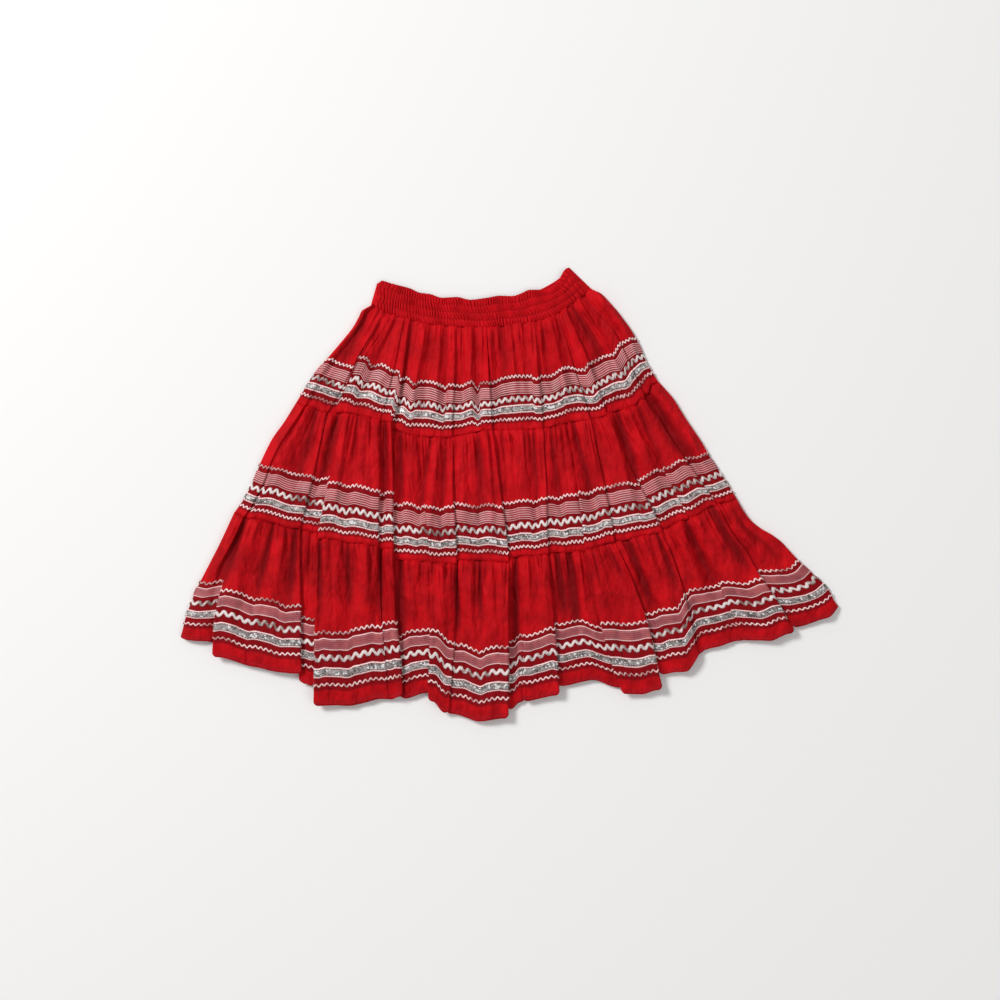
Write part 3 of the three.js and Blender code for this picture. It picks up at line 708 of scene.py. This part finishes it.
def clothMaterial(name, facts):
    # plain-weave cotton, matt with a little sheen: cloudy in tone, with painted shade in the bottom of
    # each crease, darker between the trims, with its threads drawn far enough apart to show
    material, add = newMaterial(name)
    place = add("TexCoord", out="Object")
    hollow = add("Attribute", {"attribute_name": "hollow"}, out="Fac")
    above = add("Attribute", {"attribute_name": "above"}, out="Fac")
    clouds = add("TexNoise", None, {
        "Vector": place, "Scale": metre / facts["clouds"], "Detail": 5, "Roughness": 0.62})
    stretched = add("Mapping", None, {"Vector": place, "Scale": (1, 0.25, 1)})
    streaks = add("TexNoise", None, {
        "Vector": stretched, "Scale": metre / facts["streaks"], "Detail": 4, "Roughness": 0.6})
    tone = add("Math", plus, [add("Math", times, [clouds, 0.55]), add("Math", times, [streaks, 0.45])])
    tone = add("MapRange", smooth, [tone, 0.36, 0.64])
    colour = add("Mix", colours, {0: tone, 6: facts["dark"], 7: facts["light"]}, 2)
    # painted shade: the deeper the crease, the more of the deep red it gets
    deep = add("MapRange", smooth, [hollow, -0.8, -7.5, 0, facts["creaseShadeShare"]])
    colour = add("Mix", colours, {0: deep, 6: colour, 7: facts["deep"]}, 2)

    # the turned-up hem, its stitches and the cloth between the trims: colour, share, and how far
    # above the edge each one begins and ends
    low, high = facts["zone"]
    for tint, share, begins, ends in (
            (facts["hemColour"], facts["hemShare"], (-1, 0), (9, 7)),
            (facts["deep"], facts["hemShare"], (5.6, 6.4), (8, 7.2)),
            (facts["zoneColour"], facts["zoneShare"], (low, low + 3), (high + 2, high - 1))):
        begun = add("MapRange", smooth, [above, *begins])
        inside = add("Math", times, [begun, add("MapRange", smooth, [above, *ends])])
        colour = add("Mix", colours, {0: add("Math", times, [inside, share]), 6: colour, 7: tint}, 2)

    bands = 2 * math.pi / 20        # a wave texture of scale 1 has a band each 0.314
    threads = [add("TexWave", {"bands_direction": way}, {
        "Vector": place, "Scale": bands * metre / facts["threadGap"], "Distortion": 1.2,
    }, "Fac") for way in "XY"]
    weave = add("Math", times, [add("Math", times, threads), 0.35])
    fine = add("TexNoise", None, {"Vector": place, "Scale": metre / 3.846, "Detail": 3, "Roughness": 0.6})
    relief = add("Math", plus, [weave, fine])
    bump = add("Bump", None, {"Strength": facts["bump"], "Distance": 0.0006, "Height": relief})
    stretched = add("Mapping", None, {"Vector": place, "Scale": (1, 0.5, 1)})
    folded = add("TexNoise", None, {
        "Vector": stretched, "Scale": metre / 23.81, "Detail": 2.5, "Roughness": 0.55})
    crumple = add("Math", absolute, [add("Math", minus, [folded, 0.5])])
    bump = add("Bump", None, {
        "Strength": facts["crumple"], "Distance": 0.012, "Height": crumple, "Normal": bump})
    finishMaterial(add, {
        "Base Color": colour, "Roughness": facts["rough"], "Specular IOR Level": 0.1,
        "Sheen Weight": 0.02, "Sheen Roughness": 0.45, "Sheen Tint": "#FF5A55", "Normal": bump,
    })
    return material


def braidMaterial(name, light, shade, slantShading):
    # braid of twisted silver thread: painted highlight where it falls to the right and painted shade
    # where it rises, patchy along its length, with fine threads
    material, add = newMaterial(name)
    place = add("TexCoord", out="Object")
    lean = add("Attribute", {"attribute_name": "lean"}, out="Fac")
    speckle = add("TexNoise", None, {
        "Vector": place, "Scale": metre / 2.381, "Detail": 3, "Roughness": 0.7})
    patch = add("TexNoise", None, {"Vector": place, "Scale": metre / 38.46, "Detail": 2, "Roughness": 0.5})
    patch = add("Math", times, [add("Math", minus, [patch, 0.5]), 1.8])
    # painted highlight and shade from the way the braid slants
    value = add("Math", plus, [add("Math", times, [lean, slantShading]), speckle])
    value = add("MapRange", smooth, [add("Math", plus, [value, patch]), 0.12, 0.62])
    colour = add("Mix", colours, {0: value, 6: shade, 7: light}, 2)
    threads = add("TexNoise", None, {
        "Vector": place, "Scale": metre / 1.111, "Detail": 2, "Roughness": 0.5})
    bump = add("Bump", None, {"Strength": 0.5, "Distance": 0.0005, "Height": threads})
    finishMaterial(add, {"Base Color": colour, "Roughness": 0.5, "Normal": bump})
    return material


def stripeOf(add, across, middle, width):
    # 1 on a line of this width at this place across the ribbon, 0 beside it
    away = add("Math", absolute, [add("Math", minus, [across, middle])])
    return add("MapRange", smooth, [away, width * 0.5, width * 0.22])


def ribbonMap(add):
    # the ribbon's own map, and the way along and across it, in metres
    place = add("UVMap", {"uv_map": "clothMap"})
    parts = add("SeparateXYZ", None, [place], None)
    return place, parts.outputs[0], parts.outputs[1]


def linedMaterial(name, facts):
    # sheer nylon ribbon in red: bright lines woven along it, a little broken
    material, add = newMaterial(name)
    ribbonPlace, across = ribbonMap(add)[::2]
    place = add("TexCoord", out="Object")
    cloudy = add("TexNoise", None, {"Vector": place, "Scale": metre / 18.18, "Detail": 3, "Roughness": 0.6})
    cloudy = add("MapRange", smooth, [cloudy, 0.3, 0.7])
    ground = add("Mix", colours, {0: cloudy, 6: facts["groundDark"], 7: facts["groundLight"]}, 2)
    lines = 0.0
    for middle, width, strength in facts["lines"]:
        stripe = add("Math", times, [stripeOf(add, across, middle, width), strength])
        lines = add("Math", greater, [lines, stripe])
    broken = add("TexNoise", None, {
        "Vector": ribbonPlace, "Scale": metre / 2.6316, "Detail": 2, "Roughness": 0.6})
    lines = add("Math", times, [lines, add("MapRange", smooth, [broken, 0.22, 0.5, 0.55, 1])])
    colour = add("Mix", colours, {0: lines, 6: ground, 7: "#FBC9C8"}, 2)
    bump = add("Bump", None, {"Strength": 0.5, "Distance": 0.0005, "Height": lines})
    finishMaterial(add, {"Base Color": colour, "Roughness": 0.55, "Normal": bump})
    return material


def glitterMaterial(name, light, half):
    # ribbon woven of flat metallic threads: each flake and patch is painted lighter or darker, painted
    # reflection in place of the light each would catch at its own angle; some flakes are painted white
    # glints; and the edge is a pinkish scallop with a thin dark line inside it
    material, add = newMaterial(name)
    ribbonPlace, along, across = ribbonMap(add)
    place = add("TexCoord", out="Object")
    flakes = add("TexVoronoi", None, {"Vector": ribbonPlace, "Scale": metre / 1.33333}, "Color")
    flake = add("SeparateColor", None, [flakes])
    patch = add("TexNoise", None, {"Vector": place, "Scale": metre / 7.692, "Detail": 3, "Roughness": 0.6})
    value = add("Math", plus, [add("Math", times, [flake, 0.6]), add("Math", times, [patch, 2.4])])
    colour = add("Mix", colours, {0: add("MapRange", smooth, [value, 1, 2]), 6: "#4C4442", 7: light}, 2)
    # painted glints: some flakes painted white
    paintedGlintCells = add("TexVoronoi", None, {"Vector": ribbonPlace, "Scale": metre / 3.0303}, "Color")
    speck = add("MapRange", smooth, [add("SeparateColor", None, [paintedGlintCells], 1), 0.8, 0.86, 0, 0.8])
    colour = add("Mix", colours, {0: speck, 6: colour, 7: "#FFFFFF"}, 2)

    away = add("Math", absolute, [across])
    wave = add("Math", {"operation": "SINE"}, [add("Math", times, [along, 2 * math.pi * metre / 4.2])])
    scallop = add("Math", plus, [away, add("Math", times, [wave, 0.0004])])
    edge = add("MapRange", smooth, [scallop, half - 0.0024, half - 0.0017])
    darkLine = stripeOf(add, away, half - 0.0027, 0.0014)
    colour = add("Mix", colours, {0: darkLine, 6: colour, 7: "#6E2A2C"}, 2)
    colour = add("Mix", colours, {0: edge, 6: colour, 7: "#FFD9D7"}, 2)
    metal = add("Math", times, [add("Math", minus, [1.0, edge]), 0.15])
    bump = add("Bump", None, {"Strength": 0.75, "Distance": 0.0012, "Height": flake})
    finishMaterial(add, {"Base Color": colour, "Metallic": metal, "Roughness": 0.42, "Normal": bump})
    return material


# sizes and gaps in millimetres; the threads are really 0.3 mm apart
cotton = {
    "deep": "#640006", "creaseShadeShare": 0.8, "zoneColour": "#76040E", "zoneShare": 0.8, "zone": (0, 1),
    "hemColour": "#B81C27", "hemShare": 0, "clouds": 29.41, "streaks": 16.667, "rough": 0.72,
    "threadGap": 1.6535, "bump": 0.35, "crumple": 0.8,
}
clothTones = {
    "upper": ("#CE0A17", "#AC050F"), "middle": ("#CC0A17", "#A8050F"), "lower": ("#C80915", "#9E040D"),
}
redCotton = {name: clothMaterial("red cotton of the " + name + " tier", {
    **cotton, "light": clothTones[name][0], "dark": clothTones[name][1],
    "zone": (tier["zone"][1] - 2, tier["zone"][0] - 8), "hemShare": 0.4 if name == "lower" else 0,
}) for name, tier in tierFacts.items()}
shirredCotton = clothMaterial("shirred red cotton", {
    **cotton, "light": "#CC0A18", "dark": "#B0060F", "deep": "#640007", "creaseShadeShare": 0.85,
    "zoneShare": 0, "clouds": 25, "streaks": 14.286, "rough": 0.76, "bump": 0.3, "crumple": 0.25,
})
silverBraid = braidMaterial("silver rickrack braid", "#E8D8D5", "#7E5C57", 0.1)
narrowBraid = braidMaterial("narrow silver rickrack braid", "#FAD4D2", "#A9605E", 0.05)

# the woven lines of each tier's lined ribbon: place across it and width in metres, strength
linedLines = {
    "upper": [(k * 0.0033, 0.0015, 0.8) for k in (-2.5, -1.5, -0.5, 0.5, 1.5, 2.5)],
    "middle": [(k * 0.0033, 0.0015, 0.7) for k in (-2.5, -1.5, -0.5, 0.5, 1.5, 2.5)],
    "lower": [(side * k, width, strength) for side in (-1, 1) for k, width, strength in (
        (0.0081, 0.0022, 1.0), (0.0052, 0.0011, 0.22), (0.0018, 0.0010, 0.14))],
}
linedRibbon = {name: linedMaterial("sheer lined ribbon of the " + name + " tier", {
    "groundLight": "#A94A4D" if name == "lower" else "#A5202C",
    "groundDark": "#86303A" if name == "lower" else "#841520", "lines": lines,
}) for name, lines in linedLines.items()}
glitterRibbon = {name: glitterMaterial(
    "woven metallic ribbon of the " + name + " tier", "#B8B0AE" if name == "lower" else "#CFC8C6",
    facts["silver_ribbon"][1] / 2 * millimetre) for name, facts in trimFacts.items()}


# The tiers
frontColumns, backColumns = 860, 60
columnS = np.concatenate([
    np.linspace(frontStart, frontEnd, frontColumns, endpoint=False),
    np.linspace(frontEnd, frontStart + roundS, backColumns, endpoint=False),
])


def thicken(piece, thickness):
    # the cloth's thickness, inwards from its outer face
    wall = piece.modifiers.new("cloth thickness", "SOLIDIFY")
    wall.thickness = thickness * millimetre
    wall.offset = -1


def makeTier(name, tier):
    # the tube of cloth, open at its two seams
    even = np.linspace(0, 1, tier["rows"])
    share = 0.6 * even + 0.4 * even ** 1.6      # rows lie closer under the seam
    points, hollow, above = clothPoint(tier, columnS[None, :], share[:, None], wantPaint=True)
    piece = gridMesh("cloth_" + name, points, mapOf(points, (1 - share) * tier["length"]), redCotton[name])
    # painted shade in the creases, for the material
    paintMesh(piece, "hollow", hollow)
    paintMesh(piece, "above", above)
    thicken(piece, lay["clothThickness"])
    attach(piece, "root")
    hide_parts("tier_" + name)
    return piece


for tierName, tier in tierFacts.items():
    makeTier(tierName, tier)


# The trims: a flat section carried round the tier at a set height above its lower edge
def normalsOf(points):
    # outward normals of a grid whose columns go round and whose rows go down
    across = np.roll(points, -1, axis=1) - np.roll(points, 1, axis=1)
    down = np.gradient(points, axis=0)
    normal = np.cross(down, across)
    return normal / np.maximum(np.linalg.norm(normal, axis=-1, keepdims=True), 1e-9)


def evenPlaces(tier, at, step):
    # places round the tube that are evenly spaced along a trim, and the trim's length
    fine = np.linspace(0, roundS, 6000)
    points = clothPoint(tier, fine, shareAbove(tier, fine, at))
    gone = np.concatenate([[0], np.cumsum(np.linalg.norm(np.diff(points, axis=0), axis=1))])
    count = max(200, int(round(gone[-1] / step)))
    return np.interp(np.linspace(0, gone[-1], count, endpoint=False), gone, fine), float(gone[-1])


def carriedTrim(name, tier, at, s, offsets, heights, sideways, stretch, material):
    # offsets are the section's places across the trim and heights how far each stands off the
    # cloth; sideways moves the whole section at each place, as a wave does, and stretch widens it
    away = at + np.asarray(offsets)[:, None] * stretch[None, :] + sideways[None, :]
    base = clothPoint(tier, s[None, :], shareAbove(tier, s[None, :], away))
    step = np.linspace(-1.5, 1.5, 3)[:, None]
    normal = normalsOf(clothPoint(tier, s[None, :], shareAbove(tier, s[None, :], at - step)))[1]
    points = base + normal[None] * np.asarray(heights)[:, None, None]
    return gridMesh(name, points, mapOf(points, offsets), material, closedDown=True)


def makeRickrack(name, tier, at, height, wave, braid, material):
    # a braid that swings up and down as a sharpened sine, each wave of a slightly different size,
    # and is widened where it runs steeply, so that it stays as wide across
    s, length = evenPlaces(tier, at, wave / 9)
    waves = round(length / wave)
    phase = np.arange(len(s)) / len(s) * waves * 2 * np.pi
    random = np.random.RandomState(len(name) + int(at * 10))
    size = 0.88 + 0.24 * np.interp(np.arange(len(s)), np.linspace(0, len(s), 90), random.rand(90))
    swing = (height - braid) / 2 * size
    roundness = 0.75 if braid < 3 else 0.45
    zigzag = np.arcsin(roundness * np.sin(phase)) / math.asin(roundness)
    slope = roundness * np.cos(phase) / np.sqrt(1 - (roundness * np.sin(phase)) ** 2) / math.asin(roundness)
    steep = slope * swing * 2 * np.pi / wave
    half = braid / 2
    offsets = [half, half * 0.5, -half * 0.5, -half, 0]
    heights = [0.35, 0.85, 0.85, 0.35, 0.12]
    stretch = np.minimum(np.sqrt(1 + steep ** 2), 1.7)
    piece = carriedTrim(name, tier, at, s, offsets, heights, zigzag * swing, stretch, material)
    # the slant at each point, which the material turns into painted highlight and shade
    paintMesh(piece, "lean", np.tile(slope / np.abs(slope).max(), (len(offsets), 1)))
    return piece


def makeRibbon(name, tier, at, height, material, scallop):
    # a thin flat band, its edges a little uneven
    s = evenPlaces(tier, at, 1.6)[0]
    half = height / 2
    offsets = [half, half * 0.97, half * 0.5, 0, -half * 0.5, -half * 0.97, -half, 0]
    heights = [0.2, 0.55, 0.62, 0.65, 0.62, 0.55, 0.2, 0.12]
    stretch = 1 + scallop * np.sin(np.arange(len(s)) * 2.4)
    return carriedTrim(name, tier, at, s, offsets, heights, np.zeros(len(s)), stretch, material)


for tierName, tier in tierFacts.items():
    for kind, facts in trimFacts[tierName].items():
        name = tierName + "_" + kind
        if kind == "rickrack_wide":
            piece = makeRickrack("braid_" + name, tier, *facts, silverBraid)
        elif len(facts) == 4:
            piece = makeRickrack("braid_" + name, tier, *facts, narrowBraid)
        elif kind == "lined_ribbon":
            piece = makeRibbon("ribbon_" + name, tier, *facts, linedRibbon[tierName], 0.0)
        else:
            piece = makeRibbon("ribbon_" + name, tier, *facts, glitterRibbon[tierName], 0.03)
        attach(piece, "root")
        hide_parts(name)
    print("trims of the", tierName, "tier made")


# The waistband
# Its channels and ribs; its height, the swell of a channel, the depth of a rib and its length; how
# far down each upper corner is rounded and over which share of the width; and its cloth
bandFacts = {
    "channels": 4, "ribs": 74, "height": 5.0, "channel": 1.9, "rib": 3.0, "length": 45,
    "leftCorner": (5.0, 0.03), "rightCorner": (1.2, 0.02), "clothThickness": 0.8,
}


def bandPlace(across, fall, isBack):
    # X and Y between the upper and the lower edge; on the back both edges dip as the seam does
    topX = bandUpper[0][0] + (bandUpper[-1][0] - bandUpper[0][0]) * across
    lowX = leftSide["x"][waist] + (rightSide["x"][waist] - leftSide["x"][waist]) * across
    dip = lay["backSag"][waist] * np.sin(np.pi * np.clip(across, 0, 1)) ** lay["backSagPower"][waist]
    topBack = bandUpper[0][1] + (bandUpper[-1][1] - bandUpper[0][1]) * across - dip
    lowBack = leftSide["y"][waist] + (rightSide["y"][waist] - leftSide["y"][waist]) * across - dip
    (left, leftWidth), (right, rightWidth) = bandFacts["leftCorner"], bandFacts["rightCorner"]
    corner = left * (1 - ease(across / leftWidth)) + right * (1 - ease((1 - across) / rightWidth))
    topY = np.where(isBack, topBack, alongLine(bandUpper, topX) - corner)
    lowY = np.where(isBack, lowBack, alongLine(bandLower, lowX))
    return topX + (lowX - topX) * fall, topY + (lowY - topY) * fall


def makeBand():
    # each channel swells between its rows of elastic and is cut by ribs, which drift sideways;
    # beside the front, three places round each end carry the cloth under to the flat back
    columns, backs = 640, 40
    front = np.linspace(0.012, 0.988, columns)[2:-2]
    across = np.concatenate([[0.003, 0, 0.003], front, [0.997, 1, 0.997], np.linspace(0.98, 0.02, backs)])
    edgeHeight = np.concatenate([[0.8, 3.2, 4.4], np.zeros(len(front)), [4.4, 3.2, 0.8], np.zeros(backs)])
    isBack = np.zeros(len(across), bool)
    isBack[-backs:] = True
    isFront = (edgeHeight == 0) & ~isBack
    fall = np.linspace(0, 1, bandFacts["channels"] * 8 + 1)
    acrossGrid, fallGrid = np.meshgrid(across, fall)
    x, y = bandPlace(acrossGrid, fallGrid, isBack[None, :])
    channel = np.minimum(np.floor(fallGrid * bandFacts["channels"]), bandFacts["channels"] - 1)
    inChannel = fallGrid * bandFacts["channels"] - channel
    swell = np.clip(np.sin(np.pi * inChannel), 0, 1) ** 0.5
    drift = (0.6 * patternNoise(acrossGrid * 30, channel * 3.7 + fallGrid * 2, 41)
             + 0.8 * patternNoise(acrossGrid * 9, fallGrid * 3, 42))
    ribs = np.abs(np.sin(np.pi * (acrossGrid * bandFacts["ribs"] + drift)))
    sharp = 1 - (1 - ribs) ** 1.8
    size = 0.75 + 0.35 * patternNoise(acrossGrid * 40 + 7, channel * 2.3, 44)
    relief = swell * bandFacts["channel"] + (sharp - 1) * bandFacts["rib"] * size * (0.35 + 0.65 * swell)
    z = bandFacts["height"] + 1.2 - 0.7 * ease((fallGrid - 0.9) / 0.1) + relief
    z = z + 0.5 * patternNoise(acrossGrid * 14, fallGrid * 2, 43)
    nearEnd = ease(np.minimum(acrossGrid, 1 - acrossGrid) / 0.03)
    frontZ = bandFacts["height"] + (z - bandFacts["height"]) * nearEnd
    edgeZ = np.where(edgeHeight > 0, edgeHeight, lay["backHeight"])
    zAll = np.where(isFront[None, :], frontZ, edgeZ[None, :])
    ragged = 0.6 * (1 - fallGrid) ** 3 - 1.1 * fallGrid ** 6
    y = y + np.where(isFront[None, :], (sharp - 0.6) * ragged, 0)
    points = np.stack([x, y, zAll], axis=-1)
    uv = mapOf(points, (1 - fall) * bandFacts["length"])
    piece = gridMesh("cloth_waistband", points, uv, shirredCotton)
    # painted shade in the grooves between the ribs
    paintMesh(piece, "hollow", np.where(isFront[None, :], (relief - bandFacts["channel"]) * 1.7, 0))
    paintMesh(piece, "above", np.full(relief.shape, -10.0))
    thicken(piece, bandFacts["clothThickness"])
    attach(piece, "root")
    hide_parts("waistband")
    return piece


makeBand()
print("waistband made")


# The floor, the light and the camera
scene = bpy.context.scene
scene.view_settings.view_transform = "Standard"

floorMesh = bpy.data.meshes.new("floor")
floorMesh.from_pydata([(-6, -6, 0), (6, -6, 0), (6, 6, 0), (-6, 6, 0)], [], [(0, 1, 2, 3)])
paleFloor, add = newMaterial("pale floor")       # matt paint
finishMaterial(add, {"Base Color": "#F6F5F4", "Roughness": 0.9})
floorMesh.materials.append(paleFloor)
floor = bpy.data.objects.new("floor", floorMesh)
scene.collection.objects.link(floor)

world = bpy.data.worlds.new("studio")
scene.world = world
world.use_nodes = True
world.node_tree.nodes["Background"].inputs[0].default_value = linear("#FFFFFF")
world.node_tree.nodes["Background"].inputs[1].default_value = 0.42


def areaLight(name, place, size, power):
    # a square lamp that faces the skirt's middle
    data = bpy.data.lights.new(name, "AREA")
    data.shape = "SQUARE"
    data.size = size
    data.energy = power
    light = bpy.data.objects.new(name, data)
    light.location = place
    light.rotation_mode = "QUATERNION"
    light.rotation_quaternion = (-Vector(place)).to_track_quat("-Z", "Y")
    scene.collection.objects.link(light)


areaLight("key", (-3.64, 2.73, 4.29), 1.7, 276)
areaLight("fill", (2.6, -1.9, 3.4), 2.4, 22)

# Straight above the skirt: the photograph's 1000 pixels are 1500 mm, and its middle is at
# (-14, -10) mm
pixelSize = 1.5
frameWidth = 1000 * pixelSize * millimetre
cameraData = bpy.data.cameras.new("camera")
cameraData.lens = 60
cameraData.sensor_width = 36
camera = bpy.data.objects.new("camera", cameraData)
distance = frameWidth / 2 / (cameraData.sensor_width / 2 / cameraData.lens)
camera.location = ((500 - 509.5) * pixelSize * millimetre, (493.5 - 500) * pixelSize * millimetre, distance)
scene.collection.objects.link(camera)
scene.camera = camera
